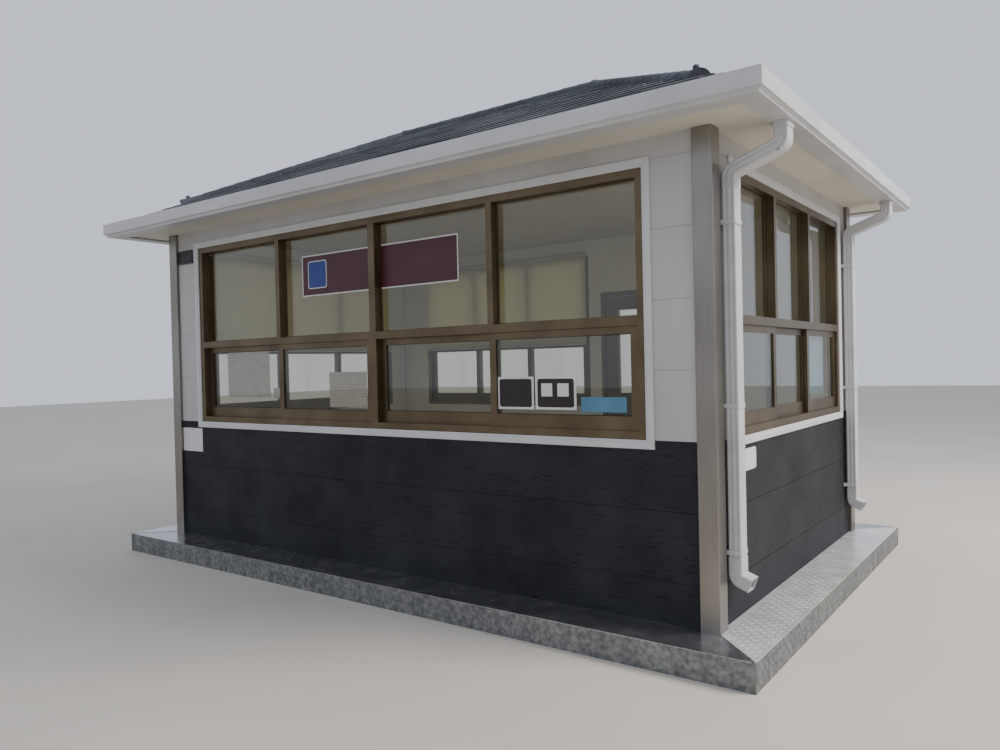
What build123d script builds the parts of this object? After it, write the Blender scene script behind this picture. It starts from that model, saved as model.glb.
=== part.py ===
from build123d import *
import os
from math import cos, radians, sin, tan

# Prefabricated service kiosk: steel base, four square corner posts, insulated metal wall
# panels, ribbon windows, hip roof with a gutter all round and two downpipes.
# Millimetres. X runs along the front wall, Y to the back, Z up. The origin is on the
# ground under the middle of the base. Heights named level_ are above the deck plate.

# Base
body_length = 5000.0            # over the posts, along the front
body_depth = 3000.0             # over the posts, front to back
base_margin = 270.0             # deck plate that stands out beyond the posts
base_height = 150.0
deck_thickness = 5.0
skirt_thickness = 4.0
rail_width = 60.0               # steel tubes of the base frame
joist_count = 7
floor_thickness = 18.0

# Posts and walls
post_side = 110.0
post_wall = 4.0
post_edge = 5.0
wall_recess = 24.0              # wall face behind the post face
wall_thickness = 80.0
level_eaves = 2625.0            # underside of the soffit
panel_pitch = 380.0             # cover height of one wall panel
groove_width = 6.0
groove_depth = 3.0

# Windows
level_sill = 988.0              # top of the dark panels
window_head = 150.0             # wall over the windows
transom_rise = 630.0            # underside of the transom over the sill
frame_face = 45.0
coupling_face = 62.0            # double mullion where two units are joined
transom_face = 52.0
frame_setback = 4.0
frame_depth = 76.0
fit_gap = 0.5                   # between a frame and its opening
glass_thickness = 6.0
glass_setback = 62.0            # outer glass face behind the frame face
bead_face = 8.0
bead_depth = 12.0
sash_stile = 50.0
sash_top_rail = 42.0
sash_bottom_rail = 80.0
sash_depth = 24.0
sash_gap = 1.0                  # clearance of a sash at its sides and top; it stands on the sill
outer_track = 18.0              # sash face behind the frame face
inner_track = 47.0
sash_overlap = 25.0
trim_width = 50.0
trim_lap = 4.0                  # trim over the edge of the frame
trim_thickness = 12.0
trim_chamfer = 4.0
front_window_margin = 407.0     # from the post faces to the window
side_window_margin = 332.0
back_window_margin = 460.0      # to the post on the left, seen from the front

# Door in the back wall
door_width = 900.0              # over its frame
door_height = 2100.0
door_margin = 1370.0            # to the post on the right, seen from the front
door_window_gap = 130.0         # wall between the door and the back window
door_frame_face = 45.0
door_leaf_thickness = 44.0
door_leaf_setback = 20.0
door_gap = 4.0
door_light_margin = 130.0
door_light_bottom = 1120.0
door_panel_depth = 6.0
door_glass_thickness = 8.0
hinge_low = 250.0               # lowest hinge over the sill
hinge_high = 150.0              # highest hinge under the head
hinge_count = 3
hinge_height = 100.0
hinge_radius = 7.0
hinge_plate_depth = 36.0
handle_height = 1020.0
handle_inset = 70.0
handle_length = 125.0
handle_rod = 20.0
handle_stand_off = 48.0
handle_plate_width = 40.0
handle_plate_height = 220.0
handle_plate_thickness = 6.0

# Roof
roof_pitch = 25.0
roof_thickness = 30.0
soffit_thickness = 20.0
eave_overhang = 245.0           # soffit beyond the posts
eave_drip = 45.0                # roof edge over the gutter
cap_radius = 60.0
cap_wall = 5.0
cap_sink = 28.0                 # cap centre line under the roof's apex
dome_radius = 68.0
cap_end_radius = 71.0           # the hip cap flares out to this at its lower end
cap_end_length = 230.0
cap_end_inset = 560.0           # lower end of the hip cap from the roof's corner
cap_knob = 19.0
cap_knob_back = 70.0            # knob from the lower end

# Gutter
gutter_width = 140.0
gutter_height = 110.0
gutter_drop = 13.0              # gutter's underside under the soffit
gutter_back_gap = 5.0           # its back edge stays clear of the roof
gutter_wall = 3.0
gutter_face_foot = 23.0         # the face stops this far above the underside
gutter_cove_depth = 22.0        # cove under the face
gutter_cove_start = 5.0
gutter_cove_steps = 3
gutter_rim = 9.0

# Downpipes on the right wall
pipe_width = 95.0
pipe_depth = 70.0
pipe_wall = 3.0
pipe_edge = 7.0
pipe_stand_off = 20.0
pipe_inset = 187.0              # centre line from the post face
pipe_fall = 20.0                # slope of the offset and of the shoe below level
bend_radius = 42.0
offset_drop = 107.0             # gutter's underside to the bend under it
outlet_offset = 10.0            # outlet from the gutter's middle, towards the wall
collar_height = 30.0
collar_wall = 7.0
shoe_level = 262.0
shoe_reach = 78.0
shoe_socket_level = 372.0
socket_wall = 3.0
clip_low = 400.0
clip_middle = 1175.0
clip_high = 2140.0
clip_height = 26.0
clip_thickness = 3.0

# Blinds and vent
blind_thickness = 3.0
blind_gap = 22.0                # cloth from the wall's inner face
blind_side = 20.0
blind_tube = 38.0
blind_bracket = 3.0
bracket_lap = 10.0              # bracket past the tube, above and below
hem_height = 24.0
hem_depth = 10.0
vent_width = 215.0
vent_height = 115.0
vent_level = 2359.0
vent_thickness = 14.0
vent_slats = 5
vent_rim = 12.0

deck_level = base_height
half_length = body_length / 2
half_depth = body_depth / 2
wall_run_long = body_length - 2 * post_side
wall_run_short = body_depth - 2 * post_side
eaves_z = deck_level + level_eaves
tray_x = half_length + eave_overhang
tray_y = half_depth + eave_overhang
gutter_floor_z = eaves_z - gutter_drop
gutter_top_z = gutter_floor_z + gutter_height

FRONT, RIGHT, BACK, LEFT = 0, 90, 180, 270


def block(x0, x1, y0, y1, z0, z1):
    """A rectangular block between two corners."""
    return Pos(x0, y0, z0) * Box(x1 - x0, y1 - y0, z1 - z0, align=(Align.MIN,) * 3)


def side_of(angle):
    """Distance from the middle of the body to the post faces of one side."""
    return half_depth if angle in (FRONT, BACK) else half_length


def run_of(angle):
    """Length of wall between the posts of one side."""
    return wall_run_long if angle in (FRONT, BACK) else wall_run_short


def turned(shape, angle):
    """Turn what was drawn for the front wall to another side of the body."""
    return Rot(0, 0, angle) * shape


def save(name, shape):
    """Write one node."""
    export_step(shape, f"parts/{name}.step")


def solids_of(*shapes):
    """Separate solids that share one node."""
    return Compound(children=[s for shape in shapes for s in shape.solids()])


# Base: frame of steel tubes, galvanised skirt, deck plate and floor

def base_pieces():
    out_x = half_length + base_margin
    out_y = half_depth + base_margin
    in_x = out_x - skirt_thickness
    in_y = out_y - skirt_thickness
    plate_under = deck_level - deck_thickness

    skirt = block(-out_x, out_x, -out_y, out_y, 0, plate_under)
    skirt -= block(-in_x, in_x, -in_y, in_y, 0, plate_under)

    room_x = in_x - rail_width
    room_y = in_y - rail_width
    rails = block(-in_x, in_x, -in_y, in_y, 0, plate_under)
    rails -= block(-room_x, room_x, -room_y, room_y, 0, plate_under)
    pitch = 2 * room_x / (joist_count + 1)
    joists = []
    for k in range(1, joist_count + 1):
        middle = -room_x + k * pitch
        joists.append(block(middle - rail_width / 2, middle + rail_width / 2, -room_y, room_y, 0, plate_under))

    deck = block(-out_x, out_x, -out_y, out_y, plate_under, deck_level)

    room_x = half_length - wall_recess - wall_thickness
    room_y = half_depth - wall_recess - wall_thickness
    floor = block(-room_x, room_x, -room_y, room_y, deck_level, deck_level + floor_thickness)
    for sx in (-1, 1):
        for sy in (-1, 1):
            cx = sx * (half_length - post_side / 2)
            cy = sy * (half_depth - post_side / 2)
            floor -= Pos(cx, cy, deck_level) * Box(post_side + 1, post_side + 1, 4 * floor_thickness)
    return skirt, rails, joists, deck, floor


# Corner posts: square stainless tube with rounded edges

def corner_posts():
    with BuildSketch() as ring:
        RectangleRounded(post_side, post_side, post_edge)
        RectangleRounded(post_side - 2 * post_wall, post_side - 2 * post_wall, post_edge - post_wall,
                         mode=Mode.SUBTRACT)
    tube = extrude(ring.sketch, level_eaves)
    posts = []
    for sx in (-1, 1):
        for sy in (-1, 1):
            cx = sx * (half_length - post_side / 2)
            cy = sy * (half_depth - post_side / 2)
            posts.append(Pos(cx, cy, deck_level) * tube)
    return posts


# Walls: insulated metal panels laid level, with a groove at each joint

def grooves(angle, first, last):
    """Cutters for the panel joints between two levels of one wall."""
    face = -side_of(angle) + wall_recess
    half = run_of(angle) / 2
    cutters = []
    steps = int((level_eaves + panel_pitch) // panel_pitch) + 1
    for k in range(-steps, steps + 1):
        level = level_sill + k * panel_pitch
        if first + groove_width < level < last - groove_width:
            z = deck_level + level
            cutters.append(block(-half - 1, half + 1, face - 1, face + groove_depth,
                                 z - groove_width / 2, z + groove_width / 2))
    return cutters


def wall_slab(angle, first, last):
    """Wall between the posts of one side and between two levels."""
    face = -side_of(angle) + wall_recess
    half = run_of(angle) / 2
    slab = block(-half, half, face, face + wall_thickness, deck_level + first, deck_level + last)
    for cutter in grooves(angle, first, last):
        slab -= cutter
    return slab


def opening_cut(angle, u0, u1, first, last):
    """Cutter for a window or door opening, right through one wall."""
    face = -side_of(angle) + wall_recess
    return block(u0, u1, face - 5, face + wall_thickness + 5, deck_level + first, deck_level + last)


side_window_width = body_depth - 2 * side_window_margin
back_window_width = body_length - back_window_margin - door_window_gap - door_width - door_margin
windows = {
    "front": (FRONT, 0.0, body_length - 2 * front_window_margin, 4),
    "right": (RIGHT, 0.0, side_window_width, 3),
    "back": (BACK, half_length - back_window_margin - back_window_width / 2, back_window_width, 3),
    "left": (LEFT, 0.0, side_window_width, 3),
}
window_height = level_eaves - window_head - level_sill
door_middle = door_margin + door_width / 2 - half_length


def wall_pieces(side):
    """Dark panels below the sill and white panels above it, with the openings cut out."""
    angle, middle, width, _ = windows[side]
    lower = wall_slab(angle, 0, level_sill)
    upper = wall_slab(angle, level_sill, level_eaves)
    upper -= opening_cut(angle, middle - width / 2 - fit_gap, middle + width / 2 + fit_gap,
                         level_sill - 1, level_sill + window_height + fit_gap)
    if side == "back":
        gap = opening_cut(angle, door_middle - door_width / 2 - fit_gap, door_middle + door_width / 2 + fit_gap,
                          -1, door_height + fit_gap)
        lower -= gap
        upper -= gap
    return turned(lower, angle), turned(upper, angle)


# Windows: bronze aluminium frame, fixed lights above the transom, sliding sashes below

def bars_of(width, lights):
    """Left and right edges of each upright of a window frame, outer jambs included."""
    half = width / 2
    edges = [(-half, -half + frame_face)]
    if lights == 4:
        faces = (frame_face, coupling_face, frame_face)
    else:
        faces = (frame_face,) * (lights - 1)
    clear = (width - 2 * frame_face - sum(faces)) / lights
    position = -half + frame_face
    for face in faces:
        position += clear
        edges.append((position, position + face))
        position += face
    edges.append((half - frame_face, half))
    return edges


def window_pieces(side):
    """Frame, sashes and glass of one window."""
    angle, middle, width, lights = windows[side]
    face = -side_of(angle) + wall_recess + frame_setback
    z0 = deck_level + level_sill
    z1 = z0 + window_height
    zt = z0 + transom_rise
    bars = [(middle + a, middle + b) for a, b in bars_of(width, lights)]
    full_height = {0, lights}
    if lights == 4:
        full_height.add(2)

    frame = block(middle - width / 2, middle + width / 2, face, face + frame_depth, z0, z1)
    for k in range(lights):
        u0, u1 = bars[k][1], bars[k + 1][0]
        frame -= block(u0, u1, face - 1, face + frame_depth + 1, zt + transom_face, z1 - frame_face)
        frame -= block(u0, u1, face - 1, face + frame_depth + 1, z0 + frame_face, zt)
    for k in range(1, lights):
        if k not in full_height:
            frame -= block(bars[k][0] - 1, bars[k][1] + 1, face - 1, face + frame_depth + 1, z0 + frame_face, zt)
    panes = []
    glass_face = face + glass_setback
    for k in range(lights):
        u0, u1 = bars[k][1], bars[k + 1][0]
        opening = (zt + transom_face, z1 - frame_face)
        bead = block(u0, u1, glass_face - bead_depth, glass_face, *opening)
        bead -= block(u0 + bead_face, u1 - bead_face, glass_face - bead_depth - 1, glass_face + 1,
                      opening[0] + bead_face, opening[1] - bead_face)
        frame += bead
        panes.append(block(u0, u1, glass_face, glass_face + glass_thickness, *opening))

    sashes = []
    marks = sorted(full_height)
    for left, right in zip(marks[:-1], marks[1:]):
        u0, u1 = bars[left][1], bars[right][0]
        count = right - left
        share = (u1 - u0) / count
        for k in range(count):
            inner = (k % 2 == 0) if count == 2 else (k % 2 == 1)
            a = u0 + k * share - (sash_overlap if k else -sash_gap)
            b = u0 + (k + 1) * share + (sash_overlap if k < count - 1 else -sash_gap)
            y = face + (inner_track if inner else outer_track)
            bottom, top = z0 + frame_face, zt - sash_gap
            ring = block(a, b, y, y + sash_depth, bottom, top)
            hole = (a + sash_stile, b - sash_stile, bottom + sash_bottom_rail, top - sash_top_rail)
            ring -= block(hole[0], hole[1], y - 1, y + sash_depth + 1, hole[2], hole[3])
            sashes.append(ring)
            middle_y = y + (sash_depth - glass_thickness) / 2
            panes.append(block(hole[0], hole[1], middle_y, middle_y + glass_thickness, hole[2], hole[3]))
    return turned(frame, angle), [turned(s, angle) for s in sashes], [turned(p, angle) for p in panes]


def window_trim(side):
    """White mitred trim round one window, chamfered on its outer edge."""
    angle, middle, width, _ = windows[side]
    wall_face = -side_of(angle) + wall_recess
    z0 = deck_level + level_sill
    z1 = z0 + window_height
    inner_u = width / 2 - trim_lap
    outer_u = width / 2 + trim_width
    plate = block(middle - outer_u, middle + outer_u, wall_face - trim_thickness, wall_face,
                  z0 - trim_width, z1 + trim_width)
    plate = chamfer(plate.faces().sort_by(Axis.Y)[0].edges(), trim_chamfer)
    plate -= block(middle - inner_u, middle + inner_u, wall_face - trim_thickness - 1, wall_face + 1,
                   z0 + trim_lap, z1 - trim_lap)
    return turned(plate, angle)


# Door: half-glazed leaf in a bronze frame, in the back wall beside the window

def door_pieces():
    face = -side_of(BACK) + wall_recess + frame_setback
    u0, u1 = door_middle - door_width / 2, door_middle + door_width / 2
    z0, z1 = deck_level, deck_level + door_height
    frame = block(u0, u1, face, face + frame_depth, z0, z1)
    frame -= block(u0 + door_frame_face, u1 - door_frame_face, face - 1, face + frame_depth + 1,
                   z0 - 1, z1 - door_frame_face)
    sill = block(u0 + door_frame_face, u1 - door_frame_face, face, face + frame_depth, z0, z0 + floor_thickness)
    frame += sill

    a, b = u0 + door_frame_face + door_gap, u1 - door_frame_face - door_gap
    bottom, top = z0 + floor_thickness + door_gap, z1 - door_frame_face - door_gap
    y = face + door_leaf_setback
    leaf = block(a, b, y, y + door_leaf_thickness, bottom, top)
    light = (a + door_light_margin, b - door_light_margin, z0 + door_light_bottom, top - door_light_margin)
    leaf -= block(light[0], light[1], y - 1, y + door_leaf_thickness + 1, light[2], light[3])
    low = (bottom + door_light_margin, z0 + door_light_bottom - door_light_margin)
    for depth in (y, y + door_leaf_thickness - door_panel_depth):
        leaf -= block(light[0], light[1], depth, depth + door_panel_depth, *low)
    middle_y = y + (door_leaf_thickness - door_glass_thickness) / 2
    pane = block(light[0], light[1], middle_y, middle_y + door_glass_thickness, light[2], light[3])

    hinges = []
    pitch = (door_height - hinge_low - hinge_high - hinge_height) / (hinge_count - 1)
    for k in range(hinge_count):
        z = z0 + hinge_low + k * pitch
        pin = Plane(origin=(b + door_gap - hinge_radius, y - hinge_radius, z), z_dir=(0, 0, 1))
        plate = block(b, b + door_gap, y - hinge_radius, y + hinge_plate_depth, z, z + hinge_height)
        hinges.append(extrude(pin * Circle(hinge_radius), hinge_height) + plate)

    lever_u = a + handle_inset
    z = z0 + handle_height
    handles = []
    for outward, surface in ((-1, y), (1, y + door_leaf_thickness)):
        plate = Pos(lever_u, surface + outward * handle_plate_thickness / 2, z) * Box(
            handle_plate_width, handle_plate_thickness, handle_plate_height)
        axis = Plane(origin=(lever_u, surface + outward * handle_plate_thickness, z), z_dir=(0, outward, 0))
        neck = extrude(axis * Circle(handle_rod / 2), handle_stand_off)
        reach = Plane(origin=(lever_u - handle_rod / 2,
                              surface + outward * (handle_plate_thickness + handle_stand_off), z), z_dir=(1, 0, 0))
        lever = extrude(reach * RectangleRounded(handle_rod, handle_rod, handle_rod / 3), handle_length)
        handles.append(plate + neck + lever)
    return [turned(s, BACK) for s in (frame, leaf, pane, solids_of(*hinges), solids_of(*handles))]


# Roof: tray that is soffit and ceiling, four slopes and the barrel caps

roof_x = tray_x + eave_drip
roof_y = tray_y + eave_drip
slope = tan(radians(roof_pitch))
slab_height = roof_thickness / cos(radians(roof_pitch))
eave_top_z = gutter_top_z - eave_drip * slope + slab_height
apex_z = eave_top_z + roof_y * slope
ridge_half = roof_x - roof_y


def roof_mass(lift):
    """Everything under the roof's upper faces, moved up or down by a lift."""
    eave, top = eave_top_z + lift, apex_z + lift
    across = Plane.YZ * Polygon((-roof_y, 0), (roof_y, 0), (roof_y, eave), (0, top), (-roof_y, eave), align=None)
    along = Plane.XZ * Polygon((-roof_x, 0), (roof_x, 0), (roof_x, eave), (ridge_half, top), (-ridge_half, top),
                               (-roof_x, eave), align=None)
    return extrude(across, roof_x, both=True) & extrude(along, roof_y, both=True)


def ceiling_tray():
    rim_top = gutter_top_z + soffit_thickness * slope
    tray = block(-tray_x, tray_x, -tray_y, tray_y, eaves_z, rim_top)
    tray -= block(-tray_x + soffit_thickness, tray_x - soffit_thickness,
                  -tray_y + soffit_thickness, tray_y - soffit_thickness, eaves_z + soffit_thickness, rim_top + 1)
    return tray & roof_mass(-slab_height)


def roof_slope(angle):
    """One slope of the hip roof, cut upright along the hips and the ridge."""
    reach, across = (roof_y, roof_x) if angle in (FRONT, BACK) else (roof_x, roof_y)
    flat = across - roof_y
    profile = Plane.YZ * Polygon((-reach, eave_top_z), (-reach + roof_y, apex_z),
                                 (-reach + roof_y, apex_z - slab_height), (-reach, eave_top_z - slab_height),
                                 align=None)
    slab = extrude(profile, across, both=True)
    plan = Polygon((-across, -reach), (across, -reach), (flat, -reach + roof_y), (-flat, -reach + roof_y),
                   align=None) if flat > 1e-6 else Polygon(
        (-across, -reach), (across, -reach), (0, -reach + roof_y), align=None)
    return turned(slab & extrude(plan, 2 * apex_z), angle)


def cap_barrel(start, end):
    """A hollow half-round cap between two points, still to be cut to the slopes."""
    run = end - start
    along = Plane(origin=start, z_dir=run, x_dir=Vector(0, 0, 1).cross(run))
    return extrude(along * (Circle(cap_radius) - Circle(cap_radius - cap_wall)), run.length)


def roof_caps():
    """Ridge cap with a dome at each end, and the four hip caps with their end pieces."""
    below = roof_mass(0)
    tops = [Vector(sx * ridge_half, 0, apex_z - cap_sink) for sx in (-1, 1)]
    ridge = cap_barrel(*tops) - below
    hips = []
    for sx, top in zip((-1, 1), tops):
        dome = Pos(*top) * Sphere(dome_radius)
        ridge = (ridge - dome) + (dome - below)
        for sy in (-1, 1):
            hip = Vector(sx * roof_x, sy * roof_y, eave_top_z - cap_sink) - top
            flare_start = top + hip * (1 - (cap_end_inset + cap_end_length) / hip.length)
            knob_at = top + hip * (1 - (cap_end_inset + cap_knob_back) / hip.length)
            flare = Plane(origin=flare_start, z_dir=hip) * Cone(
                cap_radius, cap_end_radius, cap_end_length, align=(Align.CENTER, Align.CENTER, Align.MIN))
            knob = Pos(*(knob_at + Vector(0, 0, cap_end_radius))) * Sphere(cap_knob)
            hips.append((cap_barrel(top, flare_start) - dome - below) + (flare - below) + knob)
    return ridge, hips


# Gutter: upright face over a small cove, mitred corners, two outlets on the right

outlet_x = tray_x + gutter_width / 2 - outlet_offset


def gutter_profile():
    """Section of the gutter: x outwards from the tray's edge, y up from its floor."""
    w, h, t = gutter_width, gutter_height, gutter_wall
    rise = gutter_face_foot - gutter_cove_start
    angles = [radians(90 * k / gutter_cove_steps) for k in range(gutter_cove_steps + 1)]
    cove = [(w - gutter_cove_depth * cos(a), gutter_cove_start + rise * sin(a)) for a in angles]
    outer = [(0, 0), (w - gutter_cove_depth, 0), *cove, (w, h), (w - gutter_rim, h)]
    inner = [(w - gutter_rim, h - t), (w - t, h - t)]
    inner += [(x - t, y + t) for x, y in reversed(cove)]
    inner += [(w - gutter_cove_depth - t, t), (t, t), (t, h - gutter_back_gap), (0, h - gutter_back_gap)]
    return Polygon(*outer, *inner, align=None)


def gutter_length(angle):
    """One side of the gutter, mitred at both corners."""
    edge, across = (tray_y, tray_x) if angle in (FRONT, BACK) else (tray_x, tray_y)
    section = Plane(origin=(0, -edge, gutter_floor_z), x_dir=(0, -1, 0), z_dir=(-1, 0, 0)) * gutter_profile()
    length = across + gutter_width
    trough = extrude(section, length, both=True)
    plan = Polygon((-length, -edge - gutter_width), (length, -edge - gutter_width), (across, -edge),
                   (-across, -edge), align=None)
    trough &= extrude(plan, 2 * eaves_z)
    if angle == RIGHT:
        for end in (-1, 1):
            outlet = Box(pipe_width - 2 * pipe_wall, pipe_depth - 2 * pipe_wall, 4 * gutter_wall)
            trough -= Pos(end * (half_depth - pipe_inset), -outlet_x, gutter_floor_z) * outlet
    return trough


# Downpipes: rectangular pipe with an offset at the top and a shoe at the foot

wall_face_x = half_length - wall_recess
pipe_x = wall_face_x + pipe_stand_off + pipe_depth / 2


def pipe_route():
    """Corners of the pipe's centre line, from the gutter's underside to the shoe's mouth."""
    fall = tan(radians(pipe_fall))
    upper_z = gutter_floor_z - offset_drop
    lower_z = upper_z - (outlet_x - pipe_x) * fall
    shoe_z = deck_level + shoe_level
    return [(outlet_x, gutter_floor_z), (outlet_x, upper_z), (pipe_x, lower_z), (pipe_x, shoe_z),
            (pipe_x + shoe_reach, shoe_z - shoe_reach * fall)]


def swept(points, grow):
    """The pipe's section, made larger or smaller all round, carried along a route in X and Z."""
    route = FilletPolyline(*[(x, 0, z) for x, z in points], radius=bend_radius)
    start = Plane(origin=route @ 0, z_dir=route % 0, x_dir=(0, 1, 0))
    section = RectangleRounded(pipe_width + 2 * grow, pipe_depth + 2 * grow, pipe_edge + grow)
    return sweep(start * section, path=route)


def downpipe(y):
    points = pipe_route()
    shoe = [(pipe_x, deck_level + shoe_socket_level)] + points[3:]
    body = swept(points, 0) + swept(shoe, socket_wall)
    collar = Pos(outlet_x, 0, gutter_floor_z - collar_height / 2) * Box(
        pipe_depth + 2 * collar_wall, pipe_width + 2 * collar_wall, collar_height)
    body += fillet(collar.edges().filter_by(Axis.Z), pipe_edge)
    return Pos(0, y, 0) * (body - swept(points, -pipe_wall))


def pipe_clips(y):
    """Bands that hold one downpipe to the wall."""
    bands = []
    for level in (clip_low, clip_middle, clip_high):
        out = pipe_x + pipe_depth / 2 + clip_thickness
        half = pipe_width / 2 + clip_thickness
        z = deck_level + level
        band = block(wall_face_x, out, y - half, y + half, z - clip_height / 2, z + clip_height / 2)
        band -= block(wall_face_x - 1, out - clip_thickness, y - half + clip_thickness - 0.3,
                      y + half - clip_thickness + 0.3, z - clip_height, z + clip_height)
        bands.append(band)
    return bands


# Roller blinds behind the back and left windows

def blind(side):
    """Rolled cloth, tube, hem bar and brackets inside one window, down to its transom."""
    angle, middle, width, _ = windows[side]
    wall_inside = -side_of(angle) + wall_recess + wall_thickness
    half = width / 2 - blind_side
    top = deck_level + level_sill + window_height
    foot = deck_level + level_sill + transom_rise
    y = wall_inside + blind_gap
    body = block(middle - half, middle + half, y, y + blind_thickness, foot, top)
    radius = blind_tube / 2
    tube_axis = Plane(origin=(middle - half, y + radius, top + radius - blind_thickness), z_dir=(1, 0, 0))
    body += extrude(tube_axis * Circle(radius), 2 * half)
    body += block(middle - half, middle + half, y - hem_depth / 2, y + hem_depth / 2 + blind_thickness,
                  foot - hem_height, foot)
    for u in (middle - half - blind_bracket, middle + half):
        body += block(u, u + blind_bracket, wall_inside, y + blind_tube,
                      top - bracket_lap, top + blind_tube + bracket_lap)
    return turned(body, angle)


# Vent on the front wall between the left post and the window trim

def vent():
    wall_face = -half_depth + wall_recess
    z0 = deck_level + vent_level
    u0 = -half_length + post_side + 4
    frame = block(u0, u0 + vent_width, wall_face - vent_thickness, wall_face, z0, z0 + vent_height)
    frame -= block(u0 + vent_rim, u0 + vent_width - vent_rim, wall_face - vent_thickness - 1, wall_face - 3,
                   z0 + vent_rim, z0 + vent_height - vent_rim)
    pitch = (vent_height - 2 * vent_rim) / vent_slats
    for k in range(vent_slats):
        z = z0 + vent_rim + (k + 0.5) * pitch
        frame += block(u0 + vent_rim, u0 + vent_width - vent_rim, wall_face - vent_thickness + 3, wall_face - 3,
                       z - 2, z + 2)
    return frame


def main():
    os.makedirs("parts", exist_ok=True)
    skirt, rails, joists, deck, floor = base_pieces()
    save("base_fascia", skirt)
    save("base_rails", rails)
    save("base_joists", solids_of(*joists))
    save("deck_plate", deck)
    save("floor", floor)
    save("corner_posts", solids_of(*corner_posts()))
    for side in windows:
        lower, upper = wall_pieces(side)
        save(f"{side}_wall_lower", solids_of(lower))
        save(f"{side}_wall_upper", solids_of(upper))
        window_frame, sashes, panes = window_pieces(side)
        save(f"{side}_window_frame", window_frame)
        save(f"{side}_window_sashes", solids_of(*sashes))
        save(f"{side}_window_glass", solids_of(*panes))
    save("window_trims", solids_of(*[window_trim(side) for side in windows]))
    door_frame, leaf, pane, hinges, handles = door_pieces()
    save("door_frame", door_frame)
    save("door_leaf", leaf)
    save("door_glass", pane)
    save("door_hinges", hinges)
    save("door_handle", handles)
    save("ceiling_tray", ceiling_tray())
    for side, (angle, *_) in windows.items():
        save(f"{side}_roof_slope", roof_slope(angle))
        save(f"{side}_gutter", turned(gutter_length(angle), angle))
    ridge_cap, hip_caps = roof_caps()
    save("ridge_cap", ridge_cap)
    save("hip_caps", solids_of(*hip_caps))
    front_y = -half_depth + pipe_inset
    save("front_downpipe", downpipe(front_y))
    save("rear_downpipe", downpipe(-front_y))
    save("pipe_clips", solids_of(*pipe_clips(front_y), *pipe_clips(-front_y)))
    save("back_blind", blind("back"))
    save("left_blind", blind("left"))
    save("vent_grille", vent())


main()
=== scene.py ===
import bmesh
import bpy
import numpy as np
from mathutils import Matrix, Vector


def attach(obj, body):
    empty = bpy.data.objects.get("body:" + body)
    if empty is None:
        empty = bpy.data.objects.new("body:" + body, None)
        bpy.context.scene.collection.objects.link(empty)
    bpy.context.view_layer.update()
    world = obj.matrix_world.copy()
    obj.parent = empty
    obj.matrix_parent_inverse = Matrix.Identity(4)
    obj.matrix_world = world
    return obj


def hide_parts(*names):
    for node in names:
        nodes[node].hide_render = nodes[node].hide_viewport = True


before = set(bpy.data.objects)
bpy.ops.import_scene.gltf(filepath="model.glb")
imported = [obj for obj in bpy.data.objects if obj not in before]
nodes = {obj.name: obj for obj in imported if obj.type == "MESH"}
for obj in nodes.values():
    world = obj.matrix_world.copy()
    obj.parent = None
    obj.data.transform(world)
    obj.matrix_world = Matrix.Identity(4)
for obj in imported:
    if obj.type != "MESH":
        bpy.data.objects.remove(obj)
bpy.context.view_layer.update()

# Camera
# It stands at eye height off the front right corner. Place, turn and focal length were
# fitted to corners and edges of the cabin.

focal_pixels, picture_width, sensor_width = 785.57, 1000, 36.0
camera_data = bpy.data.cameras.new("view_camera")
camera_data.sensor_width = sensor_width
camera_data.lens = focal_pixels / picture_width * sensor_width
camera = bpy.data.objects.new("view_camera", camera_data)
bpy.context.scene.collection.objects.link(camera)
forward = Vector((-0.59442, 0.80405, -0.01308))
rightward = Vector((0.80408, 0.59408, -0.02285))
upward = Vector((0.01060, 0.02410, 0.99965))
turn = Matrix((rightward, upward, -forward)).transposed().to_4x4()
camera.matrix_world = Matrix.Translation((4.003, -5.392, 1.5681)) @ turn
bpy.context.scene.camera = camera

# Studio
# A plain pale floor under an even pale sky. One large soft lamp stands high behind
# the right end, as the daylight comes from there.


def new_piece(name, shells, smooth=None):
    """One mesh from shells, each a pair of points and faces, with its faces turned outwards.
    Edges flatter than smooth degrees are shaded round."""
    points, faces, start = [], [], 0
    for corners, polygons in shells:
        corners = np.asarray(corners, float).reshape(-1, 3)
        points.append(corners)
        faces += [tuple(int(i) + start for i in polygon) for polygon in polygons]
        start += len(corners)
    mesh = bpy.data.meshes.new(name)
    mesh.from_pydata(np.concatenate(points).tolist(), [], faces)
    shell = bmesh.new()
    shell.from_mesh(mesh)
    bmesh.ops.recalc_face_normals(shell, faces=shell.faces)
    shell.to_mesh(mesh)
    shell.free()
    if smooth is not None:
        mesh.polygons.foreach_set("use_smooth", np.ones(len(mesh.polygons), bool))
        mesh.set_sharp_from_angle(angle=np.radians(smooth))
    mesh.update()
    piece = bpy.data.objects.new(name, mesh)
    bpy.context.scene.collection.objects.link(piece)
    return piece


def new_finish(name, roughness, metallic=0.0):
    """A node material with its roughness and metallic share set on the shader."""
    finish = bpy.data.materials.new(name)
    finish.use_nodes = True
    shader = finish.node_tree.nodes["Principled BSDF"]
    shader.inputs["Roughness"].default_value = roughness
    shader.inputs["Metallic"].default_value = metallic
    return finish


def add_node(finish, kind, inputs, **options):
    """Adds a node to a finish. Inputs are values or other nodes' sockets, options its own."""
    node = finish.node_tree.nodes.new("ShaderNode" + kind)
    for key, value in options.items():
        setattr(node, key, value)
    for key, value in inputs.items():
        if isinstance(value, bpy.types.NodeSocket):
            finish.node_tree.links.new(value, node.inputs[key])
        else:
            node.inputs[key].default_value = value
    return node


def drive(finish, socket, level):
    """Lets a level or a colour set one socket of the finish's shader."""
    shader = finish.node_tree.nodes["Principled BSDF"]
    finish.node_tree.links.new(level, shader.inputs[socket])


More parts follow.
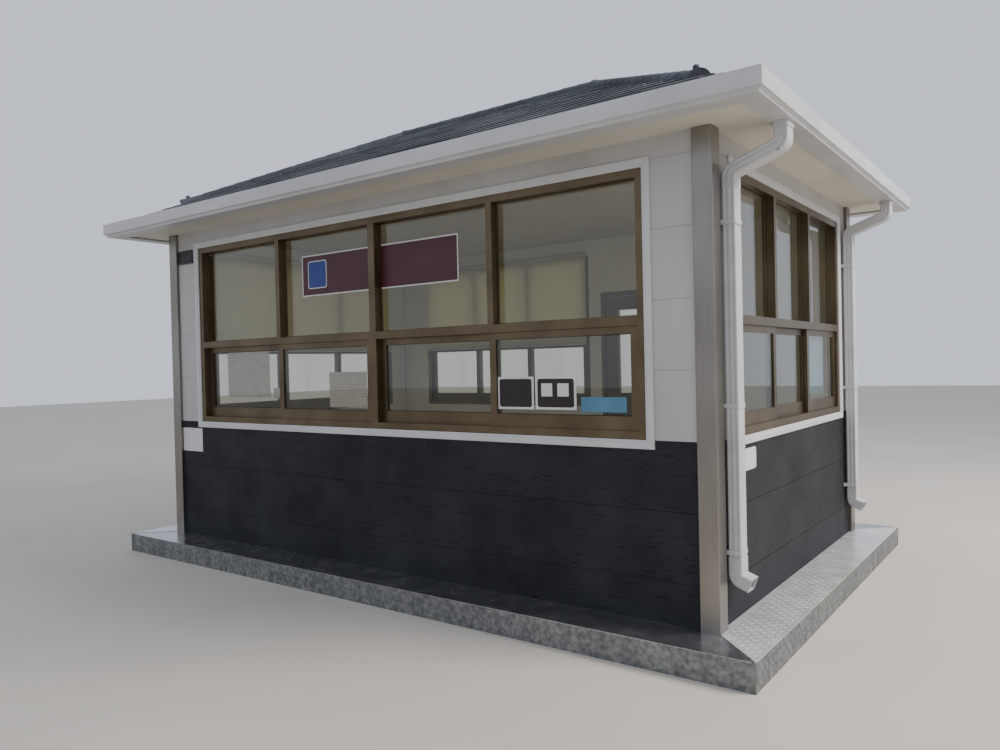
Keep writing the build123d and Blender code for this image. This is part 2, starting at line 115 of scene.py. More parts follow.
def grain(finish, scale, stretch=(1, 1, 1), detail=3.0, roughness=0.5):
    """Noise read at the piece's own coordinates, each axis multiplied by its stretch."""
    place = add_node(finish, "TexCoord", {})
    scaled = add_node(finish, "Mapping", {"Vector": place.outputs["Object"], "Scale": stretch})
    values = {"Vector": scaled.outputs["Vector"], "Scale": scale, "Detail": detail, "Roughness": roughness}
    return add_node(finish, "TexNoise", values).outputs[0]


def colored(finish, level, stops):
    """Colour that follows a level from 0 to 1, by stops of a place and a colour."""
    node = add_node(finish, "ValToRGB", {"Fac": level})
    elements = node.color_ramp.elements
    for k, (place, color) in enumerate(stops):
        stop = elements[k] if k < 2 else elements.new(place)
        stop.position = place
        stop.color = (*color, 1)
    drive(finish, "Base Color", node.outputs["Color"])


def two_toned(name, roughness, scale, low, high, first=0.3, detail=3.0, metallic=0.0):
    """A finish that wanders between two tones with its grain."""
    finish = new_finish(name, roughness, metallic)
    colored(finish, grain(finish, scale, detail=detail), [(first, low), (0.7, high)])
    return finish


ground_size = 40.0
ground_corners = np.array([(-1, -1, 0), (1, -1, 0), (1, 1, 0), (-1, 1, 0)]) * ground_size
ground = new_piece("studio_floor", [(ground_corners, [(0, 1, 2, 3)])])
ground.data.materials.append(
    two_toned("studio_floor", 0.85, 0.6, (0.52, 0.48, 0.42), (0.56, 0.52, 0.46)))

sky = bpy.data.worlds.new("studio_sky")
bpy.context.scene.world = sky
sky.use_nodes = True
sky.node_tree.nodes["Background"].inputs["Color"].default_value = (0.82, 0.88, 1.0, 1)
sky.node_tree.nodes["Background"].inputs["Strength"].default_value = 0.92

lamp_place, lamp_aim = Vector((9.5, 1.5, 8.5)), Vector((1.5, 0.0, 0.5))
lamp_data = bpy.data.lights.new("side_lamp", "AREA")
lamp_data.size = 4.0
lamp_data.energy = 1500
lamp_data.color = (1.0, 0.94, 0.86)
lamp = bpy.data.objects.new("side_lamp", lamp_data)
lamp.location = lamp_place
lamp.rotation_euler = (lamp_aim - lamp_place).to_track_quat("-Z", "Y").to_euler()
bpy.context.scene.collection.objects.link(lamp)

# Base skirt
# Bent galvanised tread plate, 150 mm high, with pressed diamond lugs and a smooth
# flat bar over each corner. Rain has left it mottled and streaked.

base_x, base_y, base_top = 2.77, 1.77, 0.15
lug_pitch = 0.034
lug_length, lug_width, lug_height = 0.0125, 0.0035, 0.0012
lug_outline = np.array([(1, 0), (0.35, 1), (-0.35, 1), (-1, 0), (-0.35, -1), (0.35, -1)])


def reckon(finish, operation, first, second=0.0, third=0.0):
    """One step of arithmetic on levels."""
    return add_node(finish, "Math", {0: first, 1: second, 2: third}, operation=operation).outputs[0]


def shone(finish, level, low, high):
    """Roughness that runs from low to high with the level."""
    drive(finish, "Roughness", reckon(finish, "MULTIPLY_ADD", level, high - low, low))


def embossed(finish, level, depth):
    """Relief of that depth in metres where the level runs from 0 to 1."""
    bump = add_node(finish, "Bump", {"Height": level, "Distance": depth, "Strength": 1.0})
    drive(finish, "Normal", bump.outputs["Normal"])


def mixture(finish, first, share, second, other_share):
    """The sum of two levels, each times its share."""
    return reckon(finish, "MULTIPLY_ADD", first, share, reckon(finish, "MULTIPLY", second, other_share))


def clad(finish, *names):
    """Puts a finish on CAD nodes."""
    for name in names:
        nodes[name].data.materials.clear()
        nodes[name].data.materials.append(finish)


def fixed(piece, finish, slot, *replaced):
    """Gives a new piece its finish and its body, and lets it stand for CAD nodes. The slot
    argument is not used."""
    piece.data.materials.append(finish)
    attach(piece, "root")
    if replaced:
        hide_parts(*replaced)


def lug_field(origin, side, rise, length, height, keep=None):
    """Pointed lugs on a flat field, turned 45 degrees one way or the other in a chequer. Each is
    a hexagon with two long points and a smaller hexagon above it, placed by adding the field's
    directions times the outline's numbers."""
    side, rise = np.array(side, float), np.array(rise, float)
    out = np.cross(side, rise)
    foot_ring = lug_outline * (lug_length, lug_width)
    top_ring = lug_outline * (lug_length * 0.72, lug_width * 0.45)
    columns, rows = np.arange(int(length / lug_pitch)), np.arange(int(height / lug_pitch))
    i, j = np.meshgrid(columns, rows, indexing="ij")
    margin = (np.array([length, height]) - (np.array(i.shape) - 1) * lug_pitch) / 2
    u = (margin[0] + i * lug_pitch).ravel()
    v = (margin[1] + j * lug_pitch).ravel()
    way = np.where((i + j) % 2 == 0, 1, -1).ravel()
    centers = np.array(origin) + u[:, None] * side + v[:, None] * rise
    if keep is not None:
        chosen = keep(centers)
        centers, way = centers[chosen], way[chosen]
    flat = np.concatenate([foot_ring, top_ring]) * np.sqrt(0.5)
    lift = np.repeat([-0.0002, lug_height], 6)
    a = flat[None, :, 0] - flat[None, :, 1] * way[:, None]
    b = flat[None, :, 0] * way[:, None] + flat[None, :, 1]
    points = centers[:, None] + a[..., None] * side + b[..., None] * rise + lift[None, :, None] * out
    faces = [(k, (k + 1) % 6, (k + 1) % 6 + 6, k + 6) for k in range(6)]
    faces += [tuple(range(6, 12)), tuple(range(5, -1, -1))]
    return points, [tuple(12 * n + k for k in face) for n in range(len(centers)) for face in faces]


galvanised = new_finish("galvanised_tread", 0.42, 0.75)
patches = grain(galvanised, 34.0, detail=2.0)
streaks = grain(galvanised, 3.0, (4, 4, 0.8), 4.0)
weathered = mixture(galvanised, streaks, 0.35, patches, 0.65)
colored(galvanised, weathered,
        [(0.36, (0.13, 0.14, 0.145)), (0.5, (0.21, 0.22, 0.225)), (0.66, (0.33, 0.335, 0.33))])
shone(galvanised, patches, 0.30, 0.62)
embossed(galvanised, patches, 0.0006)
clad(galvanised, "base_fascia")

skirt_runs = ((-1, -1, (1, 0, 0), base_x), (1, -1, (0, 1, 0), base_y),
              (1, 1, (-1, 0, 0), base_x), (-1, 1, (0, -1, 0), base_y))
skirt_fields = [lug_field((sx * base_x, sy * base_y, 0), way, (0, 0, 1), 2 * half, base_top - 0.004)
                for sx, sy, way, half in skirt_runs]
fixed(new_piece("skirt_lugs", skirt_fields), galvanised, "galvanised_sheet")


def lofted(rings, closed_path=False):
    """Skin over equal rings of points: each ring is joined to the next, point by point. The end
    rings get one face each, or the last ring is joined to the first."""
    rings = np.asarray(rings, float)
    count, size = rings.shape[:2]
    i = np.arange(count if closed_path else count - 1)[:, None] * size
    after = (i + size) % (count * size)
    j = np.arange(size)[None, :]
    k = (j + 1) % size
    quads = np.stack([i + j, i + k, after + k, after + j], -1)
    faces = [tuple(face) for face in quads.reshape(-1, 4)]
    if not closed_path:
        faces += [tuple(range(size)), tuple(range((count - 1) * size, count * size))]
    return rings.reshape(-1, 3), faces


bar_leg, bar_sheet, bar_sink = 0.024, 0.0016, 0.0002
bar_x, bar_y = base_x + bar_sheet, base_y + bar_sheet
skirt_x, skirt_y = base_x - bar_sink, base_y - bar_sink
bar_plan = [(bar_x, bar_y), (bar_x - bar_leg, bar_y), (bar_x - bar_leg, skirt_y), (skirt_x, skirt_y),
            (skirt_x, bar_y - bar_leg), (bar_x, bar_y - bar_leg)]
corner_signs = ((1, -1), (1, 1), (-1, 1), (-1, -1))
corner_bars = [lofted([[(sx * x, sy * y, z) for x, y in bar_plan] for z in (0.001, base_top - 0.001)])
               for sx, sy in corner_signs]
fixed(new_piece("skirt_corner_bars", corner_bars), galvanised, "galvanised_sheet")

# Deck
# Steel plate on the base frame, 5 mm thick. It is tread plate on the sides and the
# back, and plain plate along the front, joined by welds that are mitred at the corners.

mitre_line = base_x - base_y


def coordinate(finish, axis):
    """The piece's own coordinate along one axis."""
    place = add_node(finish, "TexCoord", {}).outputs["Object"]
    return add_node(finish, "SeparateXYZ", {0: place}).outputs[axis]


deck_finish = new_finish("deck_plate", 0.30, 0.9)
scuffs = grain(deck_finish, 9.0, detail=6.0)
scratches = grain(deck_finish, 60.0, detail=2.0)
wear = mixture(deck_finish, scratches, 0.35, scuffs, 0.65)
from_middle = [reckon(deck_finish, "ABSOLUTE", coordinate(deck_finish, axis)) for axis in "XY"]
past_mitre = reckon(deck_finish, "SUBTRACT", *from_middle)
# Past the mitres, the left and right end strips are painted lighter than the front strip. This is painted
# light, for the bright sky and sun they reflect. They are also made less metallic.
painted_light_ends = reckon(deck_finish, "GREATER_THAN", past_mitre, mitre_line)
deck_level = mixture(deck_finish, painted_light_ends, 0.45, wear, 0.5)
colored(deck_finish, deck_level,
        [(0.17, (0.26, 0.27, 0.29)), (0.26, (0.38, 0.39, 0.41)), (0.35, (0.52, 0.52, 0.53)),
         (0.62, (0.50, 0.50, 0.51)), (0.80, (0.74, 0.74, 0.75))])
drive(deck_finish, "Metallic", reckon(deck_finish, "MULTIPLY_ADD", painted_light_ends, -0.55, 0.9))
shone(deck_finish, scuffs, 0.08, 0.38)
embossed(deck_finish, scuffs, 0.0003)
clad(deck_finish, "deck_plate")

deck_strip, post_line_x, post_line_y = 0.262, 2.505, 1.505
lug_clearance = 0.03


def behind_mitre(centers):
    """True behind the slanted weld of a front corner: the distance from the middle in X plus Y
    passes the mitre."""
    return np.abs(centers[:, 0]) + centers[:, 1] > mitre_line + lug_clearance


right, back = (1, 0, 0), (0, 1, 0)
deck_fields = [
    lug_field((post_line_x, -base_y, base_top), right, back, deck_strip, 2 * base_y, behind_mitre),
    lug_field((-base_x, post_line_y, base_top), right, back, base_x + post_line_x, deck_strip),
    lug_field((-base_x, -base_y, base_top), right, back, deck_strip, base_y + post_line_y, behind_mitre),
]
lug_finish = two_toned("deck_lug_tops", 0.34, 5.0, (0.44, 0.44, 0.45), (0.66, 0.66, 0.67),
                       first=0.35, detail=4.0, metallic=0.6)
fixed(new_piece("deck_lugs", deck_fields), lug_finish, "checker_plate")

weld_start, weld_reach, bead_radius, bead_ripple = (2.503, -1.503), 0.263, 0.0042, 0.0009


def weld_bead(sx):
    """A low rippled bead along one front mitre: an oval section whose radius swings as the sine
    of the distance."""
    share = np.linspace(0, 1, 90)
    spin = np.radians(np.arange(0, 360, 45))
    radius = bead_radius + bead_ripple * np.sin(share * 150)
    across = np.array((sx, 1.0, 0)) * np.sqrt(0.5)
    start = np.array((sx * weld_start[0], weld_start[1], base_top + 0.0005))
    line = start + share[:, None] * np.array((sx * weld_reach, -weld_reach, 0))
    section = np.cos(spin)[:, None] * across * 1.8 + np.sin(spin)[:, None] * np.array((0, 0, 0.8))
    return lofted(line[:, None] + radius[:, None, None] * section)


fixed(new_piece("deck_welds", [weld_bead(sx) for sx in (1, -1)], 60), deck_finish, "checker_plate")

# Frame and floor
# Welded square tube under the deck, in dark primer, and a boarded floor with a plain
# hard covering inside the walls.

primer = two_toned("dark_primer", 0.6, 12.0, (0.055, 0.058, 0.062), (0.10, 0.10, 0.11), first=0.35)
clad(primer, "base_rails", "base_joists")

boards = new_finish("floor_covering", 0.5)
veins = grain(boards, 3.0, (1, 9, 1), 6.0)
colored(boards, veins, [(0.3, (0.34, 0.28, 0.21)), (0.55, (0.45, 0.38, 0.29)), (0.75, (0.53, 0.46, 0.37))])
shone(boards, veins, 0.40, 0.60)
clad(boards, "floor")

# Corner posts
# Square tubes of stainless sheet, 110 mm wide, brushed along their length, standing
# on the deck and welded under the eaves.

stainless = new_finish("brushed_stainless", 0.30, 1.0)
hairs = grain(stainless, 30.0, (9, 9, 0.12), 5.0, 0.7)
clouds = grain(stainless, 2.2, (1, 1, 0.5), 2.0)
colored(stainless, mixture(stainless, hairs, 0.4, clouds, 0.6),
        [(0.34, (0.20, 0.18, 0.155)), (0.52, (0.29, 0.27, 0.24)), (0.70, (0.40, 0.38, 0.35))])
shone(stainless, hairs, 0.22, 0.48)
embossed(stainless, hairs, 0.00025)
clad(stainless, "corner_posts")

# Lower walls
# Sandwich panels with a charcoal steel skin, pressed with a split slate pattern of
# short level ledges, and joined every 380 mm in height.


def all_round(kind):
    """The names of one kind of CAD node on all four sides."""
    return [f"{side}_{kind}" for side in ("front", "right", "back", "left")]


slate = new_finish("charcoal_panel", 0.62)
slate.node_tree.nodes["Principled BSDF"].inputs["Specular IOR Level"].default_value = 0.22
ledges = grain(slate, 1.0, (9, 9, 75), 2.0, 0.5)
beds = grain(slate, 1.0, (60, 60, 210), 4.0, 0.75)
tint = grain(slate, 2.6, detail=2.0)
ledge_shadows = reckon(slate, "GREATER_THAN", ledges, 0.66)
stone = reckon(slate, "MULTIPLY_ADD", ledge_shadows, -0.22, mixture(slate, beds, 0.45, tint, 0.55))
colored(slate, stone,
        [(0.15, (0.005, 0.005, 0.006)), (0.42, (0.014, 0.0155, 0.019)), (0.62, (0.027, 0.029, 0.034))])
shone(slate, beds, 0.50, 0.78)
embossed(slate, reckon(slate, "MULTIPLY_ADD", ledge_shadows, -0.6, beds), 0.0012)
clad(slate, *all_round("wall_lower"))

# Upper walls
# The same sandwich panels with a white steel skin, pressed with fine level lines. They
# stand on the lower ones and are a little dusty.

white_skin = new_finish("white_panel", 0.45)
pressed_lines = grain(white_skin, 1.0, (5, 5, 190), 3.0, 0.6)
dust = grain(white_skin, 2.5, (1, 1, 0.4), 4.0)
colored(white_skin, dust, [(0.3, (0.42, 0.41, 0.39)), (0.7, (0.50, 0.50, 0.49))])
shone(white_skin, dust, 0.38, 0.58)
embossed(white_skin, pressed_lines, 0.0007)
clad(white_skin, *all_round("wall_upper"))

# Wall lining
# White steel sheet on the room side of the panels, cut out round the windows and the
# door and screwed to the panels.

room_x, room_y, floor_top, ceiling = 2.3955, 1.3955, 0.1685, 2.7745
sill, head = 1.138, 2.625
front_opening, side_opening = 2.093, 1.168
back_left, back_right = -2.04, 0.10
door_left, door_right, door_head = 0.23, 1.13, 2.25
lining_joint, lining_sheet = 0.165, 0.0015


def cut_panel(hole, outer, place, sheet, open_foot=False):
    """A flat panel round a hole: at each corner a ring of four points joins the hole's corner to
    the panel's corner, on both faces. With open_foot the hole reaches the foot and the path
    stays open."""
    (a0, b0, a1, b1), (c0, d0, c1, d1) = hole, outer
    inner = [(a0, b0), (a0, b1), (a1, b1), (a1, b0)]
    rim = [(c0, d0), (c0, d1), (c1, d1), (c1, d0)]
    rings = [[place(u, v, 0), place(p, q, 0), place(p, q, sheet), place(u, v, sheet)]
             for (u, v), (p, q) in zip(inner, rim)]
    return lofted(rings, not open_foot)


def on_front(u, v, out):
    """A place on the inside of the front wall, with out as its distance into the room."""
    return (u, -room_y + out, v)


def on_back(u, v, out):
    """The same on the back wall, where the way into the room is minus Y."""
    return (u, room_y - out, v)


def on_right(u, v, out):
    """The same on the right wall, with u as Y."""
    return (room_x - out, u, v)


def on_left(u, v, out):
    """The same on the left wall, with u as Y."""
    return (-room_x + out, u, v)


front_hole = (-front_opening, sill, front_opening, head)
side_hole = (-side_opening, sill, side_opening, head)
back_hole, door_hole = (back_left, sill, back_right, head), (door_left, floor_top, door_right, door_head)
long_wall, end_wall = (-room_x, floor_top, room_x, ceiling), (-room_y, floor_top, room_y, ceiling)
behind_blind = (-room_x, floor_top, lining_joint, ceiling)
beside_door = (lining_joint, floor_top, room_x, ceiling)
lining_shells = [
    cut_panel(front_hole, long_wall, on_front, lining_sheet),
    cut_panel(side_hole, end_wall, on_right, lining_sheet),
    cut_panel(side_hole, end_wall, on_left, lining_sheet),
    cut_panel(back_hole, behind_blind, on_back, lining_sheet),
    cut_panel(door_hole, beside_door, on_back, lining_sheet, True),
]
lining = two_toned("white_lining", 0.55, 1.5, (0.78, 0.76, 0.69), (0.86, 0.84, 0.78), detail=2.0)
fixed(new_piece("wall_lining", lining_shells), lining, "white_panel")

# Windows
# Bronze anodised aluminium frames and sliding sashes, mitred and screwed, with black
# rubber round each pane.

bronze = new_finish("bronze_aluminium", 0.32, 0.85)
drawn = grain(bronze, 4.0, (1, 1, 1), 3.0)
colored(bronze, drawn, [(0.3, (0.105, 0.077, 0.046)), (0.7, (0.165, 0.125, 0.078))])
shone(bronze, drawn, 0.28, 0.42)
clad(bronze, *all_round("window_frame"), *all_round("window_sashes"), "door_frame", "door_leaf")

rubber_and_gap_shade = two_toned("black_rubber_and_gap_shade", 0.7, 40.0, (0.010, 0.010, 0.010), (0.022, 0.022, 0.021))
gasket_width, gasket_lift = 0.004, 0.0012


def on_wall(angle, reach):
    """Maps a place along a wall, its height and its distance out of the wall's plane to the
    frame: the front is at minus reach in Y, and the others are turned about Z."""
    turned = np.radians(angle)
    cos, sin = np.cos(turned), np.sin(turned)

    def place(u, v, out):
        """The turned place."""
        y = -reach - out
        return (u * cos - y * sin, u * sin + y * cos, v)
    return place


def gasket(place, u0, v0, u1, v1):
    """A flat rubber frame: the pane's rectangle less the same one set in by the width."""
    w = gasket_width
    return cut_panel((u0 + w, v0 + w, u1 - w, v1 - w), (u0, v0, u1, v1), place, gasket_lift)


pane_foot, pane_head = 1.820, head - 0.045
front_panes = [(-2.048, -1.062), (-1.017, -0.031), (0.031, 1.017), (1.062, 2.048)]
side_panes = [(-1.123, -0.4043), (-0.3593, 0.3593), (0.4043, 1.123)]
upper_pane, side_reach = on_wall(0, 1.4100), 2.4100
inner_sash, outer_sash = on_wall(0, 1.4160), on_wall(0, 1.4450)
front_sashes = [(-2.047, -1.0145, inner_sash), (-1.0645, -0.032, outer_sash),
                (0.032, 1.0645, inner_sash), (1.0145, 2.047, outer_sash)]
sash_stile, sash_pane_foot, sash_pane_head = 0.050, 1.263, 1.725
gaskets = [gasket(upper_pane, a, pane_foot, b, pane_head) for a, b in front_panes]
gaskets += [gasket(on_wall(angle, side_reach), a, pane_foot, b, pane_head)
            for angle in (90, 270) for a, b in side_panes]
gaskets += [gasket(place, a + sash_stile, sash_pane_foot, b - sash_stile, sash_pane_head)
            for a, b, place in front_sashes]
fixed(new_piece("pane_gaskets", gaskets), rubber_and_gap_shade, "dark_vent")

# Glass
# Clear float glass, slightly green and dusty. It shines by its angle and lets the
# light through.


def surfaced(finish, shader):
    """Lets this shader be the finish's surface."""
    output = finish.node_tree.nodes["Material Output"]
    finish.node_tree.links.new(shader.outputs[0], output.inputs["Surface"])


glass = bpy.data.materials.new("clear_glass")
glass.use_nodes = True
glass.node_tree.nodes.remove(glass.node_tree.nodes["Principled BSDF"])
see_through = add_node(glass, "BsdfTransparent", {"Color": (0.87, 0.87, 0.83, 1)})
gloss = add_node(glass, "BsdfGlossy", {"Color": (0.95, 0.97, 0.97, 1), "Roughness": 0.02})
slanted = reckon(glass, "POWER", add_node(glass, "LayerWeight", {"Blend": 0.5}).outputs["Facing"], 4.0)
sheen = reckon(glass, "MULTIPLY_ADD", slanted, 0.80, 0.045)
surfaced(glass, add_node(glass, "MixShader", {0: sheen, 1: see_through.outputs[0], 2: gloss.outputs[0]}))
clad(glass, *all_round("window_glass"), "door_glass")

# Window and door trims
# Bent white sheet, 50 mm wide with a stepped inner edge, mitred at the corners and
# screwed round each opening.

trim_finish = two_toned("white_trim", 0.38, 3.0, (0.53, 0.53, 0.525), (0.60, 0.60, 0.595))
trim_profile = [(0.0, -0.0035), (0.0, 0.0052), (0.0035, 0.0070), (0.0120, 0.0070), (0.0150, 0.0118),
                (0.0185, 0.0130), (0.0460, 0.0130), (0.0498, 0.0100), (0.0500, 0.0), (0.0045, 0.0),
                (0.0040, -0.0035)]
long_face, end_face = 1.475, 2.475


def trim_frame(place, u0, v0, u1, v1, open_foot=False):
    """The trim's profile at each corner of the opening, drawn outwards along both sides of the
    corner, and joined round."""
    down = 0 if open_foot else -1
    corners = [(u0, v0, -1, down), (u0, v1, -1, 1), (u1, v1, 1, 1), (u1, v0, 1, down)]
    rings = [[place(u + du * w, v + dv * w, t) for w, t in trim_profile] for u, v, du, dv in corners]
    return lofted(rings, not open_foot)


trim_shells = [
    trim_frame(on_wall(0, long_face), -front_opening, sill, front_opening, head),
    trim_frame(on_wall(90, end_face), -side_opening, sill, side_opening, head),
    trim_frame(on_wall(270, end_face), -side_opening, sill, side_opening, head),
    trim_frame(on_wall(180, long_face), -back_right, sill, -back_left, head),
    trim_frame(on_wall(180, long_face), -door_right, base_top + 0.001, -door_left, door_head, True),
]
fixed(new_piece("opening_trims", trim_shells), trim_finish, "white_trim", "window_trims")

# Door fittings
# Three stainless hinges and a stainless lever handle on a long plate, screwed to the
# bronze leaf and its frame.

clad(stainless, "door_hinges", "door_handle")

# Eaves
# White boards under the roof's overhang, dull, and a white ceiling inside. Their warm
# yellow tint is painted warm light, bounced up from the ground.

# The warm yellow of both tones is painted bounce light from the ground.
soffit = two_toned("white_soffit", 0.62, 2.0, (0.58, 0.54, 0.46), (0.66, 0.62, 0.54), detail=4.0)
embossed(soffit, grain(soffit, 160.0, detail=1.0), 0.0003)
clad(soffit, "ceiling_tray")

# Shingles
# Asphalt shingles in slate blue, with a coat of mineral granules. Each strip has tabs
# 333 mm wide and shows 143 mm of its depth, and the slots shift half a tab each course.

shingle_finish = new_finish("mineral_shingle", 0.88)
granules = grain(shingle_finish, 420.0, detail=1.0)
weather = grain(shingle_finish, 1.6, detail=4.0)
colored(shingle_finish, mixture(shingle_finish, granules, 0.55, weather, 0.45),
        [(0.36, (0.016, 0.019, 0.026)), (0.5, (0.050, 0.056, 0.070)), (0.66, (0.13, 0.14, 0.165))])
embossed(shingle_finish, granules, 0.0012)
clad(shingle_finish, *all_round("roof_slope"))

# The dark strips in the slots are painted shade, standing for the shadow in each slot.
slot_shade = two_toned("painted_slot_shade", 0.85, 60.0, (0.008, 0.009, 0.011), (0.016, 0.018, 0.022))

roof_x, roof_y, eave_z = 2.790, 1.790, 2.8841
pitch = np.radians(25.0)
exposure, tab_width, slot_width, slot_edge = 0.143, 0.3333, 0.014, 0.0004
course_step = exposure * np.cos(pitch)
course_count = int(np.ceil(roof_y / course_step))
headlap, bed, under_lap = 0.012, 0.0012, 0.0004
hip_clearance = 0.13
tab_draw = np.random.default_rng(11)


def on_slope(x, inwards, lift):
    """Places on a slope before it is turned: x along the eave, inwards from it in plan, and lift
    square to the slope."""
    y = inwards - lift * np.sin(pitch)
    z = inwards * np.tan(pitch) + lift * np.cos(pitch)
    return np.stack([x, y, z], -1)


def first_slot(number, half_run):
    """The left edge of a course's first slot, half a tab further left on every other course."""
    return -half_run - tab_width * (0.25 + 0.5 * (number % 2))


def shingle_course(number, half_run):
    """One course before its hips are cut. Each column has a ring of five points: butt foot, butt
    edge, middle, head and back down. Butts differ a little in thickness and reach from tab to
    tab, and the columns drop to the layer below at each slot."""
    tabs = int(2 * half_run / tab_width) + 2
    left = first_slot(number, half_run) + tab_width * np.arange(tabs)
    thick = np.repeat(tab_draw.uniform(0.0055, 0.0085, tabs), 4)
    reach = np.repeat(tab_draw.uniform(-0.002, 0.003, tabs), 4) * (number > 0)
    raised = thick * np.tile([0.0, 1.0, 1.0, 0.0], tabs)
    offsets = np.array([slot_width, slot_width + slot_edge, tab_width - slot_edge, tab_width])
    x = (left[:, None] + offsets).ravel()
    level = np.ones_like(x)
    foot = number * course_step + reach
    top = ((number + 1) * course_step + headlap) * level
    places = np.stack([foot, foot, foot + course_step / 2, top, top], 1)
    lifts = [under_lap * level, raised + bed, raised * 0.7 + bed, 0.0020 * level, under_lap * level]
    return lofted(on_slope(np.repeat(x[:, None], 5, 1), places, np.stack(lifts, 1)))


def slot_strips(number, half_run):
    """Painted shade in the slots of one course: dark strips a little lower than the tabs, which
    stop short of the hips."""
    foot, top = number * course_step + 0.002, (number + 1) * course_step
    section = [(foot, 0.0008), (foot, 0.0064), (top, 0.0034), (top, 0.0008)]
    left = np.arange(first_slot(number, half_run), half_run, tab_width)
    hip = half_run - (number + 0.5) * course_step
    left = left[np.abs(left + slot_width / 2) < hip - hip_clearance]
    return [lofted([[on_slope(u, f, lift) for f, lift in section] for u in (x, x + slot_width)])
            for x in left]


def cut_to_slope(mesh, half_run):
    """Cuts courses by the upright planes through both hips and the ridge, and closes the cuts."""
    cuts = [((half_run, 0, 0), (1, 1, 0)), ((-half_run, 0, 0), (-1, 1, 0)), ((0, roof_y, 0), (0, 1, 0))]
    shell = bmesh.new()
    shell.from_mesh(mesh)
    for place, normal in cuts:
        everything = shell.verts[:] + shell.edges[:] + shell.faces[:]
        result = bmesh.ops.bisect_plane(shell, geom=everything, plane_co=place, plane_no=normal,
                                        clear_outer=True)
        edges = [e for e in result["geom_cut"] if isinstance(e, bmesh.types.BMEdge)]
        bmesh.ops.holes_fill(shell, edges=edges, sides=0)
    bmesh.ops.recalc_face_normals(shell, faces=shell.faces)
    shell.to_mesh(mesh)
    shell.free()


def shingled_slope(side, angle, half_run, reach):
    """All courses and slots of one slope, turned about Z to its side of the roof."""
    courses = range(course_count)
    tabs = new_piece(side + "_tiles", [shingle_course(number, half_run) for number in courses])
    cut_to_slope(tabs.data, half_run)
    strips = [strip for number in courses for strip in slot_strips(number, half_run)]
    slots = new_piece(side + "_slots", strips)
    for piece in (tabs, slots):
        turned = Matrix.Rotation(np.radians(angle), 4, "Z") @ Matrix.Translation((0, -reach, eave_z))
        piece.data.transform(turned)
        piece.data.update()
    fixed(tabs, shingle_finish, "roof_tile")
    fixed(slots, slot_shade, "roof_tile")


shingled_slope("front", 0, roof_x, roof_y)
shingled_slope("right", 90, roof_y, roof_x)
shingled_slope("back", 180, roof_x, roof_y)
shingled_slope("left", 270, roof_y, roof_x)

# Ridge and hip caps
# Half round caps with the same coat of granules. Each laps the one below, and each hip
# starts in a flared cap with a ball on it.

ridge_half, apex_z = roof_x - roof_y, eave_z + roof_y * np.tan(pitch)
cap_sink, cap_sheet, cap_pitch, cap_lap = 0.028, 0.004, 0.143, 0.04
cap_lip, cap_radii = 0.004, (0.0630, 0.0640, 0.0596)
cap_arc = np.radians(np.linspace(-112, 112, 21))
flare_start, flare_length, flare_radius, flare_growth = 0.560, 0.230, 0.060, 0.011
knob_radius, knob_at, knob_height, lid_radius = 0.019, 0.630, 0.071, 0.069
first_cap, ridge_end_radius = 0.770, 0.068


def cap_arch(middle, side, up, radius, arc):
    """Points round a middle: radius times the sine of the arc sideways and its cosine upwards."""
    return middle + radius * (np.sin(arc)[:, None] * side + np.cos(arc)[:, None] * up)


def cap_shell(line, way, up, spans, radii):
    """A half round shell: at each span along the line, an outer arch of that radius and an inner
    one, less the sheet, make one ring."""
    side = np.cross(way, up)
    rings = []
    for span, radius in zip(spans, radii):
        middle = line + span * way
        outer = cap_arch(middle, side, up, radius, cap_arc)
        inner = cap_arch(middle, side, up, radius - cap_sheet, cap_arc[::-1])
        rings.append(np.concatenate([outer, inner]))
    return lofted(rings)


def cap_row(line, way, up, start, stop, length):
    """Lapped caps from start to stop along a line that has that length."""
    shells = []
    for begin in np.arange(start, stop, cap_pitch):
        spans = (begin, begin + cap_lip, min(begin + cap_pitch + cap_lap, length))
        shells.append(cap_shell(line, way, up, spans, cap_radii))
    return shells


def ball(center, radius):
    """A globe: rings of constant height, with their radius the cosine of the height's angle, and
    closed at both poles by the end rings."""
    rise = np.radians(np.linspace(-88, 88, 13))[:, None]
    spin = np.radians(np.arange(0, 360, 18))[None, :]
    share = np.cos(rise)
    rings = np.stack([share * np.cos(spin), share * np.sin(spin), np.sin(rise) + 0 * spin], -1)
    return lofted(np.array(center) + radius * rings)


hip_shells = []
hip_length = np.hypot(roof_y * np.sqrt(2), apex_z - eave_z)
flare = np.linspace(0, 1, 8)
for sx, sy in ((1, 1), (1, -1), (-1, 1), (-1, -1)):
    foot = np.array((sx * roof_x, sy * roof_y, eave_z))
    way = (np.array((sx * ridge_half, 0, apex_z)) - foot) / hip_length
    up = np.cross(np.cross(way, (0, 0, 1.0)), way)
    up = up / np.linalg.norm(up)
    line = foot - cap_sink * up
    radii = flare_radius + flare_growth * (1 - flare) ** 2
    hip_shells.append(cap_shell(line, way, up, flare_start + flare_length * flare, radii))
    lid = cap_arch(line + (flare_start + 0.0005) * way, np.cross(way, up), up, lid_radius, cap_arc)
    hip_shells.append(lofted([lid, lid + cap_sheet * way]))
    hip_shells.append(ball(line + knob_at * way + knob_height * up, knob_radius))
    hip_shells += cap_row(line, way, up, first_cap, hip_length - 0.05, hip_length)
fixed(new_piece("hip_cap_tiles", hip_shells, 35), shingle_finish, "roof_tile", "hip_caps")

ridge_way, ridge_up = np.array((1.0, 0, 0)), np.array((0, 0, 1.0))
ridge_line = np.array((-ridge_half, 0, apex_z - cap_sink))
ridge_shells = cap_row(ridge_line, ridge_way, ridge_up, 0, 2 * ridge_half - 0.05, 2 * ridge_half)
ridge_shells += [ball((sx * ridge_half, 0, apex_z - cap_sink), ridge_end_radius) for sx in (1, -1)]
fixed(new_piece("ridge_cap_tiles", ridge_shells, 35), shingle_finish, "roof_tile", "ridge_cap")
